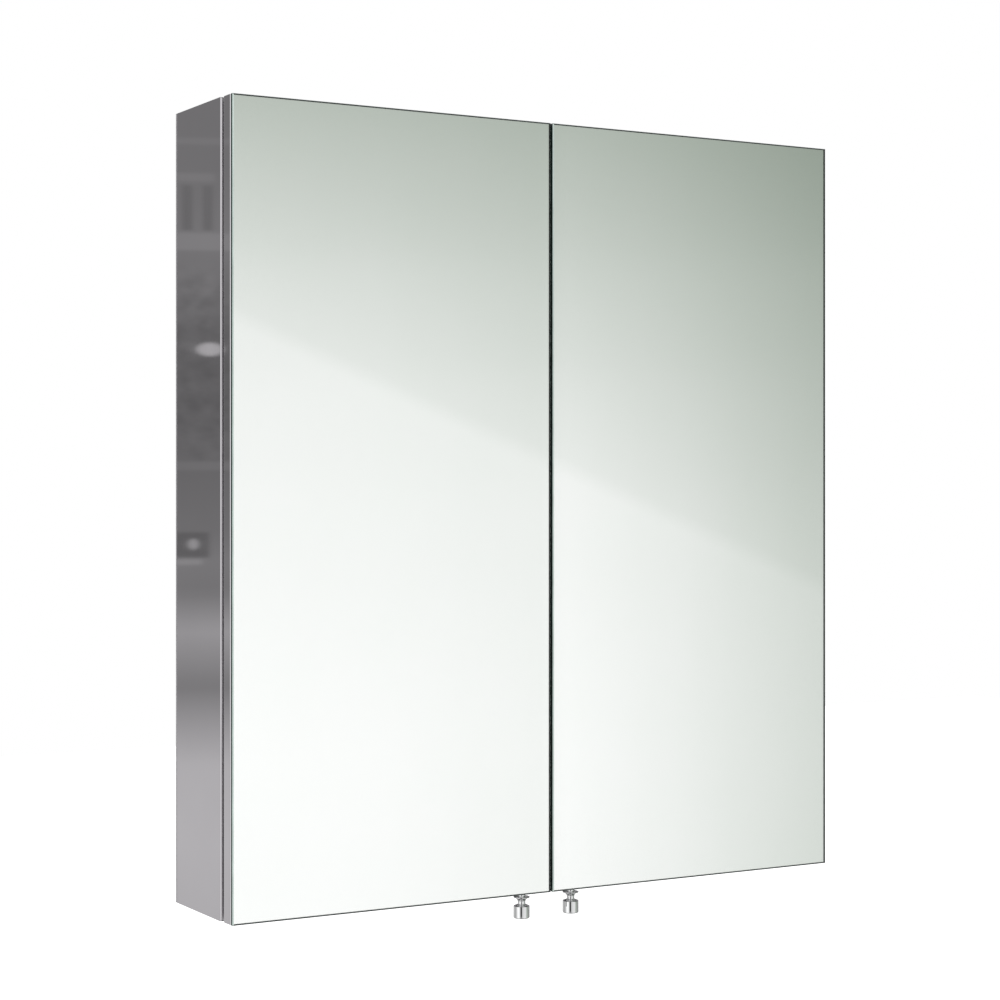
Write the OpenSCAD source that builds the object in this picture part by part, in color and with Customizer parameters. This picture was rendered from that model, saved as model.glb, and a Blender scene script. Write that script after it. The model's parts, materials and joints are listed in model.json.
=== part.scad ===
// Two-door mirror cabinet in folded stainless sheet, hung flat on a wall.
// Frame: X to the right, Y into the wall, Z up. The origin lies on the wall plane,
// at the middle of the body's width and height, so the doors are at negative Y.

/* [Cabinet] */
// Width of the body
cabinet_w = 600; // [500:1:800]
// Height of the body
cabinet_h = 670; // [560:1:800]
// Depth from the wall to the face of the mirrors
cabinet_d = 122; // [120:1:160]
// Thickness of the folded sheet
sheet = 1; // [0.8:0.1:1]
// Outside radius of a fold
bend_r = 1.5; // [1.4:0.1:2]
// Width of the folded frame around the front opening
frame_w = 15; // [14:0.5:15]
// Thickness of the flat back panel
back_t = 1; // [1:0.1:1.2]

/* [Doors] */
// Thickness of a folded door tray
tray_t = 14.5; // [14.5:0.1:15.5]
// Gap between the body and a closed door
door_gap = 5.2; // [4:0.1:6]
// Gap between the two closed doors
centre_gap = 2; // [1.6:0.1:4]
// How far a door stops short of the body at its top and bottom
door_inset = 0.5; // [0:0.1:2]
// Thickness of the mirror glass
glass_t = 4; // [3:0.5:4]
// Width of the ground edge on the face of the glass
arris = 0.8; // [0.3:0.1:1]
// Thickness of the foam tape that holds the glass
tape_t = 0.8; // [0.6:0.1:1]
// Width of that tape
tape_w = 10; // [6:1:11]

/* [Hinges] */
// Height of each hinge above or below the middle of the cabinet
hinge_z = 235; // [170:1:250]
// Distance of the pivot from the cabinet's outer side
pivot_in = 7.5; // [7:0.1:7.5]
// Distance of the pivot from the rear face of the door tray
pivot_depth = 9; // [8.8:0.1:9.2]
// Radius of a hinge pin
pin_r = 1.5; // [1.3:0.1:1.6]
// Radial play of the hinge arm on its pin
pin_play = 0.05; // [0.02:0.01:0.08]
// Radius of the cup let into the door
cup_r = 17.5; // [17:0.1:17.5]
// Distance of the cup's centre from the door's outer edge
cup_in = 20; // [20:0.1:20.5]

/* [Knobs] */
// Distance of a knob from the middle of the cabinet
knob_x = 25; // [12:1:60]
// Distance of a knob behind the face of the mirror
knob_y = 10; // [9.5:0.1:11]
// Radius of a knob
knob_r = 7.1; // [6.5:0.1:7.5]
// Length of a knob below the door
knob_h = 21.5; // [18:0.5:30]

/* [Shelves] */
// Height of each shelf above or below the middle of the cabinet
shelf_z = 107; // [60:1:130]
// Distance of a shelf's front edge from the wall
shelf_front = 90; // [84:1:92]
// Height of the lip folded down along a shelf's front edge
shelf_lip = 14; // [12:1:20]
// Radius of a shelf pin
shelf_pin_r = 2.5; // [2:0.1:3]
// Pitch of the rows of pin holes
hole_pitch = 32; // [20:1:32]

/* [Wall fixing] */
// Distance between the wall screws across the cabinet
fixing_w = 480; // [300:1:480]
// Distance between the wall screws up the cabinet
fixing_h = 580; // [480:1:580]
// Radius of a wall screw hole
fixing_r = 3.25; // [2:0.25:4]
// Thickness of the rails that carry the wall screws
rail_t = 3; // [2:0.5:4]

/* [Hidden] */
$fn = 64;

// Overlap that a cutter needs to pass clean through a face
eps = 1;
// Clearance around a fastener in its hole
hole_play = 0.1;

// Planes along the depth, as distances from the wall
glass_front = cabinet_d;
glass_back = glass_front - glass_t;
tray_front = glass_back - tape_t;
tray_back = tray_front - tray_t;
body_front = tray_back - door_gap;
liner_front = body_front - sheet;
liner_back = back_t + sheet;

// Door outline, measured from the cabinet's outer side
door_w = (cabinet_w - centre_gap) / 2;
door_h = cabinet_h - 2 * door_inset;

// Inside faces of the cabinet
inner_w = cabinet_w - 2 * frame_w;
inner_h = cabinet_h - 2 * frame_w;

// Liner flanges lie on the body flanges, clear of the body's folds
liner_flange = frame_w - bend_r - sheet;

// Blind rivets with flush heads
rivet_r = 1.6;
rivet_head_r = 3;
rivet_head_h = 0.9;
rivet_tail_r = 2.4;
rivet_tail_h = 1.6;
rivet_line = frame_w - 6.5;
rivet_rows = [-0.42, -0.15, 0.15, 0.42];
rivet_columns = [-0.34, 0, 0.34];

// Wall rails
rail_h = 40;
rail_gap = 1;

// Shelves
shelf_back = 6;
shelf_side_gap = 1.5;
shelf_return = 8;
shelf_rear_lip = 10;
pin_rows = [25, 75];
pin_collar_r = 4;
pin_collar_t = 1;
pin_reach = 8;
pin_tail = 6;

// Magnetic catch under the top liner
catch_w = 52;
catch_h = 13;
catch_d = 38;
catch_ear_w = 12;
catch_ear_t = 3;
catch_ear_d = 14;
catch_screw_r = 1.5;
catch_head_r = 3;
catch_head_h = 1.8;
pole_gap = 0.2;
pole_proud = 1.3;
pole_t = 1.2;
magnet_t = 4;
magnet_w = 14;
magnet_x = 13;
magnet_depth = 18;
strike_t = 1;
strike_w = 18;
strike_h = 13;
catch_top = inner_h / 2;
magnet_z = catch_top - catch_h / 2;
pole_front = tray_back - strike_t - pole_gap;
catch_front = pole_front - pole_proud;
catch_rear = catch_front - catch_d;
catch_screw_y = catch_rear + catch_ear_d / 2;

// Hinge plate on the liner, its screws set back from the front edge: a cross plate and a rail
plate_set_back = 37;
plate_t = 2;
plate_half = 24;
plate_end_r = 6.5;
plate_rail_half = 4.8;
plate_screw_y = body_front - plate_set_back;
plate_rail_front = plate_screw_y + 24;
plate_screw_z = 16;
plate_screw_r = 1.75;
plate_head_r = 3.5;
plate_head_h = 1.8;
plate_screw_l = 9;

// Hinge arm, as distances from the cabinet's outer side
arm_near = 18.5;
arm_far = 21;
arm_half = 5;
arm_t = arm_far - arm_near;
eye_r = 2.8;
arm_channel_half = 6.5;
arm_cheek_t = 1.2;
arm_cheek_near = 17.2;
arm_channel_front = plate_screw_y + 30;
arm_rear = plate_screw_y - 15;
arm_screw_y = plate_screw_y - 9;
arm_screw_r = 1.8;
arm_head_r = 3.2;
arm_head_h = 2;
adjust_screw_y = plate_screw_y + 17;
adjust_screw_r = 2.2;
adjust_proud = 0.4;
pivot_y = tray_back + pivot_depth;

// Hinge cup
pocket_play = 0.5;
pocket_outer = pivot_in - 3.5;
pocket_inner = arm_far + 0.8;
pocket_floor = pivot_y + eye_r + 0.4;
cup_depth = pocket_floor + 0.7 - tray_back;
cup_fit = 0.1;
ear_near = 9;
ear_far = 38;
ear_half = 30;
ear_t = 1.2;
ear_r = 6;
cup_screw_in = cup_in + 9.5;
cup_screw_z = 22.5;
cup_screw_r = 1.7;
cup_head_r = 3.4;
cup_head_h = 1.2;
hinge_pin_l = 18;
press_play = 0.02;

// Backing plates inside the door tray
backing_t = 2.5;
backing_near = 3;
backing_far = 41;
backing_half = 32;

// Door stiffener, a channel that backs the glass
stiff_w = 30;
stiff_end = 25;
glass_relief = 0.1;

// Tape, set in from the edge of the glass
tape_inset = 0.3;

// Door bumpers
bumper_r = 4;
bumper_t = door_gap - 0.3;
bumper_x = 34;

// Knob, as heights below the door: a neck, a rim that flares out of a waist, and a drum
knob_neck_r = 3.2;
knob_neck_h = 2.9;
knob_rim_low = 3.9;
knob_waist_r = 3.4;
knob_shoulder = 9.5;
knob_slope = 1.5;
knob_chamfer = 0.6;
knob_screw_r = 2;
knob_screw_l = 12;
knob_head_r = 3.5;
knob_head_h = 2.2;

steel = [0.72, 0.72, 0.74];
polished = [0.62, 0.61, 0.63];
nickel = [0.66, 0.64, 0.6];
zinc = [0.75, 0.76, 0.78];
silvered = [0.8, 0.87, 0.86];

// ---------------------------------------------------------------- helpers

// Rectangle between two corners
module rect(x0, y0, x1, y1) {
    translate([x0, y0]) square([x1 - x0, y1 - y0]);
}

// Rectangle with four rounded corners
module round_rect(x0, y0, x1, y1, r) {
    rect(x0 + r, y0, x1 - r, y1);
    rect(x0, y0 + r, x1, y1 - r);
    for (x = [x0 + r, x1 - r], y = [y0 + r, y1 - r]) {
        translate([x, y]) circle(r);
    }
}

// Box between two opposite corners
module block(low, high) {
    translate(low) cube(high - low);
}

// Extrudes a drawing of Y and Z along X
module along_x(length) {
    rotate([90, 0, 90]) linear_extrude(length, center = true) children();
}

// Extrudes a drawing of X and Z along Y, away from the wall, from one depth to another
module along_y(from, to) {
    translate([0, -from, 0]) rotate([90, 0, 0]) linear_extrude(to - from) children();
}

// Round bar along Y, from one depth to another
module bar_y(x, z, from, to, r) {
    translate([x, -from, z]) rotate([90, 0, 0]) cylinder(h = to - from, r = r);
}

// Round bar along X between two places
module bar_x(y, z, from, to, r) {
    translate([from, y, z]) rotate([0, 90, 0]) cylinder(h = to - from, r = r);
}

// Channel folded from sheet: a web along Y and two flanges of the given reach
module fold_profile(rear, front, reach) {
    difference() {
        round_rect(0, -front, 2 * reach, -rear, bend_r);
        round_rect(sheet, -front + sheet, 2 * reach + eps, -rear - sheet, bend_r - sheet);
        rect(reach, -front - eps, 3 * reach, -rear + eps);
    }
}

// A length of profile along Z, mitred at both ends like a picture frame
module mitred_run(length) {
    half = length / 2;
    reach = frame_w + eps;
    intersection() {
        linear_extrude(length, center = true) children();
        rotate([90, 0, 0]) linear_extrude(3 * cabinet_d, center = true)
            polygon([
                [-eps, -half - eps], [reach, -half + reach],
                [reach, half - reach], [-eps, half + eps]
            ]);
    }
}

// Puts a run along the left side of the cabinet
module at_left() {
    translate([-cabinet_w / 2, 0, 0]) mitred_run(cabinet_h) children();
}

// Puts a run along the top of the cabinet
module at_top() {
    translate([0, 0, cabinet_h / 2]) rotate([0, 90, 0]) mitred_run(cabinet_w) children();
}

// Repeats a left-hand part on the right
module on_right() {
    mirror([1, 0, 0]) children();
}

// Repeats an upper part below
module below() {
    mirror([0, 0, 1]) children();
}

// Left-hand parts are drawn with X measured from the cabinet's outer side
module from_side() {
    translate([-cabinet_w / 2, 0, 0]) children();
}

// Places a part at one hinge, or at both
module at_hinge(level) {
    translate([-cabinet_w / 2, 0, level * hinge_z]) children();
}

module at_both_hinges() {
    at_hinge(1) children();
    at_hinge(-1) children();
}

// Repeats a part at every rivet, in the middle of the rear flanges
module at_rivets() {
    for (side = [-1, 1]) {
        for (row = rivet_rows) {
            translate([side * (cabinet_w / 2 - rivet_line), 0, row * cabinet_h]) children();
        }
        for (column = rivet_columns) {
            translate([column * cabinet_w, 0, side * (cabinet_h / 2 - rivet_line)]) children();
        }
    }
}

// Clearance holes for the rivet shanks
module rivet_holes() {
    at_rivets() bar_y(0, 0, -eps, liner_back + sheet + eps, rivet_r + hole_play / 2);
}

// Clearance holes for the wall screws
module wall_holes() {
    for (x = [-fixing_w / 2, fixing_w / 2], z = [-fixing_h / 2, fixing_h / 2]) {
        bar_y(x, z, -eps, back_t + rail_t + eps, fixing_r);
    }
}

// ---------------------------------------------------------------- body

module side_panel() {
    difference() {
        at_left() fold_profile(back_t, body_front, frame_w);
        rivet_holes();
    }
}

module left_side_panel() {
    color(polished) side_panel();
}

module right_side_panel() {
    color(polished) on_right() side_panel();
}

module top_panel() {
    color(polished) difference() {
        at_top() fold_profile(back_t, body_front, frame_w);
        rivet_holes();
    }
}

module bottom_panel() {
    color(polished) below() top_panel();
}

module back_panel() {
    play = hole_play / 2;
    color(steel) difference() {
        along_y(0, back_t) square([cabinet_w, cabinet_h], center = true);
        rivet_holes();
        at_rivets() rotate([90, 0, 0])
            cylinder(h = rivet_head_h, r1 = rivet_head_r + play, r2 = rivet_r + play);
        wall_holes();
    }
}

// Liner channel, its flanges turned away from the inside of the cabinet
module liner_profile() {
    translate([frame_w, 0]) mirror([1, 0])
        fold_profile(liner_back, liner_front, liner_flange);
}

// Rows of holes for the shelf pins: three heights for each shelf
module pin_holes() {
    from_side() {
        for (row = pin_rows, shelf = [-1, 1], step = [-1, 0, 1]) {
            z = shelf * shelf_z - sheet - shelf_pin_r + step * hole_pitch;
            bar_x(-row, z, frame_w - sheet - eps, frame_w + eps, shelf_pin_r + hole_play);
        }
    }
}

// Screw holes for the hinge plates
module plate_holes(from, to) {
    for (z = [-plate_screw_z, plate_screw_z]) {
        bar_x(-plate_screw_y, z, from, to, plate_screw_r + hole_play);
    }
}

module side_liner() {
    difference() {
        at_left() liner_profile();
        rivet_holes();
        pin_holes();
        at_both_hinges() plate_holes(frame_w - sheet - eps, frame_w + eps);
    }
}

module left_liner() {
    color(steel) side_liner();
}

module right_liner() {
    color(steel) on_right() side_liner();
}

// Screw holes for the catch's two ears
module catch_holes(from, to) {
    for (side = [-1, 1]) {
        translate([side * (catch_w + catch_ear_w) / 2, -catch_screw_y, from])
            cylinder(h = to - from, r = catch_screw_r + hole_play);
    }
}

module top_liner() {
    color(steel) difference() {
        at_top() liner_profile();
        rivet_holes();
        catch_holes(inner_h / 2 - eps, inner_h / 2 + sheet + eps);
    }
}

module bottom_liner() {
    color(steel) below() difference() {
        at_top() liner_profile();
        rivet_holes();
    }
}

module wall_rail() {
    half_w = inner_w / 2 - rail_gap;
    z = fixing_h / 2;
    difference() {
        block([-half_w, -back_t - rail_t, z - rail_h / 2], [half_w, -back_t, z + rail_h / 2]);
        wall_holes();
    }
}

module upper_wall_rail() {
    color(zinc) wall_rail();
}

module lower_wall_rail() {
    color(zinc) below() wall_rail();
}

module back_rivets() {
    tail = liner_back + sheet;
    color(steel) at_rivets() {
        rotate([90, 0, 0]) cylinder(h = rivet_head_h, r1 = rivet_head_r, r2 = rivet_r);
        bar_y(0, 0, 0, tail, rivet_r);
        bar_y(0, 0, tail, tail + rivet_tail_h, rivet_tail_r);
    }
}

// ---------------------------------------------------------------- shelves

// Shelf section: flat top, front lip with a returned edge, shorter rear lip
module shelf_profile() {
    difference() {
        round_rect(-shelf_front, -shelf_lip, -shelf_back, 0, bend_r);
        round_rect(-shelf_front + sheet, -shelf_lip + sheet, -shelf_back - sheet, -sheet,
                   bend_r - sheet);
        rect(-shelf_front + shelf_return, -shelf_lip - eps, -shelf_back + eps, -shelf_rear_lip);
    }
}

module shelf() {
    along_x(inner_w - 2 * shelf_side_gap) shelf_profile();
}

module upper_shelf() {
    color(steel) translate([0, 0, shelf_z]) shelf();
}

module lower_shelf() {
    color(steel) translate([0, 0, -shelf_z]) shelf();
}

module shelf_pin() {
    bar_x(0, 0, frame_w - sheet - pin_tail, frame_w + pin_reach, shelf_pin_r);
    bar_x(0, 0, frame_w, frame_w + pin_collar_t, pin_collar_r);
}

module shelf_pins() {
    color(nickel) for (side = [0, 1], row = pin_rows, shelf = [-1, 1]) {
        mirror([side, 0, 0]) from_side()
            translate([0, -row, shelf * shelf_z - sheet - shelf_pin_r]) shelf_pin();
    }
}

// ---------------------------------------------------------------- catch

// The slot for one magnet and its two pole plates
module magnet_slot() {
    half = magnet_w / 2;
    stack = magnet_t / 2 + pole_t;
    block([magnet_x - half, -catch_front - eps, magnet_z - stack],
          [magnet_x + half, -catch_front + magnet_depth, magnet_z + stack]);
}

module catch_housing() {
    half = catch_w / 2;
    ear = half + catch_ear_w;
    color("white") difference() {
        union() {
            block([-half, -catch_front, catch_top - catch_h], [half, -catch_rear, catch_top]);
            block([-ear, -catch_rear - catch_ear_d, catch_top - catch_ear_t],
                  [ear, -catch_rear, catch_top]);
        }
        magnet_slot();
        on_right() magnet_slot();
        catch_holes(catch_top - catch_ear_t - eps, catch_top + eps);
    }
}

module magnet() {
    half = magnet_w / 2;
    block([magnet_x - half, -catch_front, magnet_z - magnet_t / 2],
          [magnet_x + half, -catch_front + magnet_depth, magnet_z + magnet_t / 2]);
}

module catch_magnets() {
    color([0.2, 0.2, 0.2]) {
        magnet();
        on_right() magnet();
    }
}

module pole_pair() {
    half = magnet_w / 2;
    for (low = [-magnet_t / 2 - pole_t, magnet_t / 2]) {
        block([magnet_x - half, -pole_front, magnet_z + low],
              [magnet_x + half, -catch_front + magnet_depth, magnet_z + low + pole_t]);
    }
}

module catch_pole_plates() {
    color(zinc) {
        pole_pair();
        on_right() pole_pair();
    }
}

module catch_screws() {
    head = catch_top - catch_ear_t;
    color(nickel) for (side = [-1, 1]) {
        translate([side * (catch_w + catch_ear_w) / 2, -catch_screw_y, head]) {
            translate([0, 0, -catch_head_h]) cylinder(h = catch_head_h, r = catch_head_r);
            cylinder(h = catch_ear_t + frame_w / 2, r = catch_screw_r);
        }
    }
}

// ---------------------------------------------------------------- hinges

// Cross plate with round ends, and the rail that carries the arm
module hinge_plate() {
    straight = plate_half - plate_end_r;
    difference() {
        union() {
            block([frame_w, -plate_screw_y - plate_end_r, -straight],
                  [frame_w + plate_t, -plate_screw_y + plate_end_r, straight]);
            for (z = [-straight, straight]) {
                bar_x(-plate_screw_y, z, frame_w, frame_w + plate_t, plate_end_r);
            }
            block([frame_w, -plate_rail_front, -plate_rail_half],
                  [arm_near, -arm_rear, plate_rail_half]);
        }
        plate_holes(frame_w - eps, frame_w + plate_t + eps);
        bar_x(-arm_screw_y, 0, frame_w - eps, arm_near + eps, arm_screw_r + hole_play);
    }
}

module left_hinge_plates() {
    color(nickel) at_both_hinges() hinge_plate();
}

module right_hinge_plates() {
    color(nickel) on_right() at_both_hinges() hinge_plate();
}

// The outside of the arm's bend, a quarter round
module arm_corner() {
    intersection() {
        translate([arm_near, -pivot_y + arm_t / 2, 0])
            cylinder(h = 2 * arm_half, r = arm_t, center = true);
        block([arm_near, -pivot_y - arm_t, -arm_half], [arm_far + eps, -pivot_y + arm_t / 2, arm_half]);
    }
}

// Cranked arm: an eye on the pin, a short bar, and a channel over the hinge plate
module hinge_arm() {
    difference() {
        union() {
            translate([pivot_in, -pivot_y, 0]) cylinder(h = 2 * arm_half, r = eye_r, center = true);
            block([pivot_in, -pivot_y - arm_t / 2, -arm_half],
                  [arm_far - arm_t, -pivot_y + arm_t / 2, arm_half]);
            arm_corner();
            block([arm_near, -pivot_y + arm_t / 2, -arm_half],
                  [arm_far, -arm_channel_front, arm_half]);
            block([arm_near, -arm_channel_front, -arm_channel_half],
                  [arm_far, -arm_rear, arm_channel_half]);
            for (side = [0, 1]) {
                mirror([0, 0, side])
                    block([arm_cheek_near, -arm_channel_front, arm_channel_half - arm_cheek_t],
                          [arm_near, -arm_rear, arm_channel_half]);
            }
        }
        translate([pivot_in, -pivot_y, 0])
            cylinder(h = 2 * arm_half + eps, r = pin_r + pin_play, center = true);
        bar_x(-arm_screw_y, 0, arm_near - eps, arm_far + eps, arm_screw_r + hole_play);
        bar_x(-adjust_screw_y, 0, arm_near - eps, arm_far + eps, adjust_screw_r + hole_play);
    }
}

module left_upper_hinge_arm() {
    color(nickel) at_hinge(1) hinge_arm();
}

module left_lower_hinge_arm() {
    color(nickel) at_hinge(-1) hinge_arm();
}

module right_upper_hinge_arm() {
    color(nickel) on_right() at_hinge(1) hinge_arm();
}

module right_lower_hinge_arm() {
    color(nickel) on_right() at_hinge(-1) hinge_arm();
}

module plate_screws() {
    head = frame_w + plate_t;
    at_both_hinges() for (z = [-plate_screw_z, plate_screw_z]) {
        bar_x(-plate_screw_y, z, head, head + plate_head_h, plate_head_r);
        bar_x(-plate_screw_y, z, head - plate_screw_l, head, plate_screw_r);
    }
}

module left_plate_screws() {
    color(zinc) plate_screws();
}

module right_plate_screws() {
    color(zinc) on_right() plate_screws();
}

// The fixing screw clamps the arm, and the set screw beside it moves the door sideways
module arm_screws() {
    at_both_hinges() {
        bar_x(-arm_screw_y, 0, arm_far, arm_far + arm_head_h, arm_head_r);
        bar_x(-arm_screw_y, 0, frame_w, arm_far, arm_screw_r);
        bar_x(-adjust_screw_y, 0, arm_near, arm_far + adjust_proud, adjust_screw_r);
    }
}

module left_arm_screws() {
    color(zinc) arm_screws();
}

module right_arm_screws() {
    color(zinc) on_right() arm_screws();
}

// ---------------------------------------------------------------- doors

// A door-sized block between two depths, every edge rounded alike
module tray_block(margin, r) {
    half = door_h / 2 - margin;
    intersection() {
        linear_extrude(door_h + eps, center = true)
            round_rect(margin, -tray_front + margin, door_w - margin, -tray_back - margin, r);
        translate([door_w / 2, 0, 0]) along_x(door_w + eps)
            round_rect(-tray_front + margin, -half, -tray_back - margin, half, r);
    }
}

// Folded tray: rear face, four sides and a front flange that takes the tape
module door_tray() {
    window = door_h / 2 - frame_w;
    from_side() difference() {
        tray_block(0, bend_r);
        tray_block(sheet, bend_r - sheet);
        block([frame_w, -tray_front - eps, -window],
              [door_w - frame_w, -tray_front + sheet + eps, window]);
        for (level = [-1, 1]) {
            bar_y(cup_in, level * hinge_z, tray_back - eps, tray_back + 2 * sheet, cup_r + cup_fit);
            for (z = [-cup_screw_z, cup_screw_z]) {
                bar_y(cup_screw_in, level * hinge_z + z, tray_back - eps, tray_back + 2 * sheet,
                      cup_screw_r + hole_play);
            }
        }
        translate([cabinet_w / 2 - knob_x, -glass_front + knob_y, -door_h / 2 - eps])
            cylinder(h = 2 * sheet + eps, r = knob_screw_r + hole_play);
    }
}

module left_door_tray() {
    color(polished) door_tray();
}

module right_door_tray() {
    color(polished) on_right() door_tray();
}

// Glass with the arris ground all round its face
module mirror_glass() {
    half = door_h / 2;
    from_side() intersection() {
        linear_extrude(door_h, center = true) polygon([
            [0, -glass_back], [door_w, -glass_back], [door_w, -glass_front + arris],
            [door_w - arris, -glass_front], [arris, -glass_front], [0, -glass_front + arris]
        ]);
        translate([door_w / 2, 0, 0]) along_x(door_w) polygon([
            [-glass_back, -half], [-glass_back, half], [-glass_front + arris, half],
            [-glass_front, half - arris], [-glass_front, -half + arris], [-glass_front + arris, -half]
        ]);
    }
}

module left_mirror() {
    color(silvered) mirror_glass();
}

module right_mirror() {
    color(silvered) on_right() mirror_glass();
}

module mirror_tape() {
    outer = door_h / 2 - tape_inset;
    inner = outer - tape_w;
    margin = tape_inset + tape_w;
    from_side() difference() {
        block([tape_inset, -glass_back, -outer], [door_w - tape_inset, -tray_front, outer]);
        block([margin, -glass_back - eps, -inner], [door_w - margin, -tray_front + eps, inner]);
    }
}

module left_mirror_tape() {
    color([0.15, 0.15, 0.15]) mirror_tape();
}

module right_mirror_tape() {
    color([0.15, 0.15, 0.15]) on_right() mirror_tape();
}

module door_stiffener() {
    half = door_h / 2 - stiff_end;
    low = -glass_back + glass_relief;
    high = -tray_back - sheet;
    from_side() translate([(door_w - stiff_w) / 2, 0, 0]) difference() {
        block([0, low, -half], [stiff_w, high, half]);
        block([sheet, low - eps, -half - eps], [stiff_w - sheet, high - sheet, half + eps]);
    }
}

module left_door_stiffener() {
    color(zinc) door_stiffener();
}

module right_door_stiffener() {
    color(zinc) on_right() door_stiffener();
}

// Cup with two screw ears and the pocket that the arm swings in
module hinge_cup() {
    half = arm_half + pocket_play;
    difference() {
        union() {
            bar_y(cup_in, 0, tray_back, tray_back + cup_depth, cup_r);
            along_y(tray_back - ear_t, tray_back)
                round_rect(ear_near, -ear_half, ear_far, ear_half, ear_r);
        }
        block([pocket_outer, -pocket_floor, -half], [pocket_inner, -tray_back + ear_t + eps, half]);
        translate([pivot_in, -pivot_y, 0])
            cylinder(h = hinge_pin_l, r = pin_r + press_play, center = true);
        for (z = [-cup_screw_z, cup_screw_z]) {
            bar_y(cup_screw_in, z, tray_back - ear_t - eps, tray_back + eps, cup_screw_r + hole_play);
        }
    }
}

module left_upper_hinge_cup() {
    color(nickel) at_hinge(1) hinge_cup();
}

module left_lower_hinge_cup() {
    color(nickel) at_hinge(-1) hinge_cup();
}

module right_upper_hinge_cup() {
    color(nickel) on_right() at_hinge(1) hinge_cup();
}

module right_lower_hinge_cup() {
    color(nickel) on_right() at_hinge(-1) hinge_cup();
}

module hinge_pins() {
    at_both_hinges() translate([pivot_in, -pivot_y, 0])
        cylinder(h = hinge_pin_l, r = pin_r, center = true);
}

module left_hinge_pins() {
    color(steel) hinge_pins();
}

module right_hinge_pins() {
    color(steel) on_right() hinge_pins();
}

module cup_screws() {
    head = tray_back - ear_t;
    tip = tray_back + sheet + backing_t + eps;
    at_both_hinges() for (z = [-cup_screw_z, cup_screw_z]) {
        bar_y(cup_screw_in, z, head - cup_head_h, head, cup_head_r);
        bar_y(cup_screw_in, z, head, tip, cup_screw_r);
    }
}

module left_cup_screws() {
    color(zinc) cup_screws();
}

module right_cup_screws() {
    color(zinc) on_right() cup_screws();
}

// Steel plates behind the tray's rear face, tapped for the cup screws
module backing_plates() {
    front = tray_back + sheet + backing_t;
    at_both_hinges() difference() {
        block([backing_near, -front, -backing_half], [backing_far, -tray_back - sheet, backing_half]);
        bar_y(cup_in, 0, tray_back, front + eps, cup_r + cup_fit);
        for (z = [-cup_screw_z, cup_screw_z]) {
            bar_y(cup_screw_in, z, tray_back, front + eps, cup_screw_r + press_play);
        }
    }
}

module left_backing_plates() {
    color(zinc) backing_plates();
}

module right_backing_plates() {
    color(zinc) on_right() backing_plates();
}

module strike_plate() {
    block([-magnet_x - strike_w / 2, -tray_back, magnet_z - strike_h / 2],
          [-magnet_x + strike_w / 2, -tray_back + strike_t, magnet_z + strike_h / 2]);
}

module left_strike_plate() {
    color(zinc) strike_plate();
}

module right_strike_plate() {
    color(zinc) on_right() strike_plate();
}

module bumpers() {
    for (level = [-1, 1]) {
        bar_y(-bumper_x, level * (cabinet_h - frame_w) / 2, tray_back - bumper_t, tray_back, bumper_r);
    }
}

module left_bumpers() {
    color([0.85, 0.86, 0.85]) bumpers();
}

module right_bumpers() {
    color([0.85, 0.86, 0.85]) on_right() bumpers();
}

// Half section of the knob
module knob_profile() {
    flare = knob_r - knob_waist_r;
    flare_low = knob_rim_low + flare;
    difference() {
        polygon([
            [0, 0], [knob_neck_r, 0], [knob_neck_r, -knob_neck_h], [knob_r, -knob_neck_h],
            [knob_r, -flare_low], [knob_waist_r, -flare_low], [knob_waist_r, -knob_shoulder],
            [knob_r, -knob_shoulder - knob_slope], [knob_r, -knob_h + knob_chamfer],
            [knob_r - knob_chamfer, -knob_h], [0, -knob_h]
        ]);
        intersection() {
            translate([knob_r, -flare_low]) circle(flare);
            rect(0, -flare_low, knob_r + flare, 0);
        }
    }
}

// Turned knob, hung from the door
module knob() {
    translate([-knob_x, -glass_front + knob_y, -door_h / 2]) difference() {
        rotate_extrude() knob_profile();
        translate([0, 0, -knob_screw_l]) cylinder(h = knob_screw_l + eps, r = knob_screw_r + press_play);
    }
}

module left_knob() {
    color([0.85, 0.85, 0.87]) knob();
}

module right_knob() {
    color([0.85, 0.85, 0.87]) on_right() knob();
}

module knob_screw() {
    translate([-knob_x, -glass_front + knob_y, -door_h / 2]) {
        translate([0, 0, sheet]) cylinder(h = knob_head_h, r = knob_head_r);
        translate([0, 0, -knob_screw_l + eps]) cylinder(h = knob_screw_l - eps + sheet, r = knob_screw_r);
    }
}

module left_knob_screw() {
    color(zinc) knob_screw();
}

module right_knob_screw() {
    color(zinc) on_right() knob_screw();
}

// ---------------------------------------------------------------- nodes

left_side_panel();
right_side_panel();
top_panel();
bottom_panel();
back_panel();
left_liner();
right_liner();
top_liner();
bottom_liner();
upper_wall_rail();
lower_wall_rail();
back_rivets();
upper_shelf();
lower_shelf();
shelf_pins();
catch_housing();
catch_magnets();
catch_pole_plates();
catch_screws();
left_hinge_plates();
right_hinge_plates();
left_upper_hinge_arm();
left_lower_hinge_arm();
right_upper_hinge_arm();
right_lower_hinge_arm();
left_plate_screws();
right_plate_screws();
left_arm_screws();
right_arm_screws();
left_door_tray();
right_door_tray();
left_mirror();
right_mirror();
left_mirror_tape();
right_mirror_tape();
left_door_stiffener();
right_door_stiffener();
left_upper_hinge_cup();
left_lower_hinge_cup();
right_upper_hinge_cup();
right_lower_hinge_cup();
left_hinge_pins();
right_hinge_pins();
left_cup_screws();
right_cup_screws();
left_backing_plates();
right_backing_plates();
left_strike_plate();
right_strike_plate();
left_bumpers();
right_bumpers();
left_knob();
right_knob();
left_knob_screw();
right_knob_screw();
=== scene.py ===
"""Looks of the two-door mirror cabinet: materials, detailed pieces, camera and studio.

Everything is in metres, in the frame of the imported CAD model: X to the right, Y into the wall, Z up.
"""

import json
import math

import bmesh
import bpy
from mathutils import Matrix, Vector


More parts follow.
